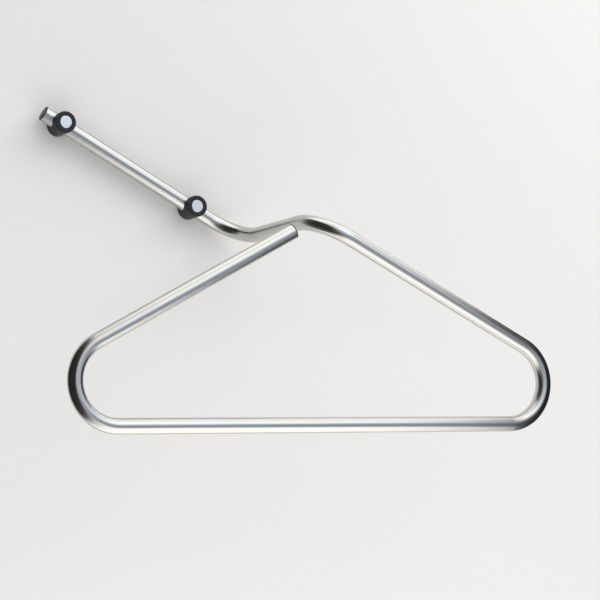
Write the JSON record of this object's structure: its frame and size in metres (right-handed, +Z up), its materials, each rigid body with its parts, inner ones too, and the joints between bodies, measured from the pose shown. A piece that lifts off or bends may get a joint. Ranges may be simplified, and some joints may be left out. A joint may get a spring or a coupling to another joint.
{
  "type": "wall-mounted valet hanger",
  "caption": "Wall-mounted valet hanger bent from satin steel tube, stood off the wall on round black spacers, for a jacket over its shoulders and trousers on its bar.",
  "frame": {"origin": "on the wall's surface, midway between the axes of the fixing screws", "axes": "+X to the right along the wall, +Y into the wall along the screws, +Z up; the loop stands on the -Y side"},
  "size_m": [0.473, 0.219, 0.306],
  "materials": {
    "satin_steel": "satin brushed along the tube",
    "black_plastic": "fine matt, softly rounded edge",
    "pale_metal": "matt, pale blue-grey",
    "zinc_steel": "zinc plated",
    "grey_nylon": "moulded"
  },
  "bodies": {
    "root": {"hanger_tube": "satin_steel", "arm_end_cap": "black_plastic", "loop_end_cap": "black_plastic", "spacer_body_outer": "black_plastic", "spacer_body_inner": "black_plastic", "cover_disc_outer": "pale_metal", "cover_disc_inner": "pale_metal", "wall_screw_outer": "zinc_steel", "wall_screw_inner": "zinc_steel", "wall_plug_outer": "grey_nylon", "wall_plug_inner": "grey_nylon"}
  },
  "joints": []
}
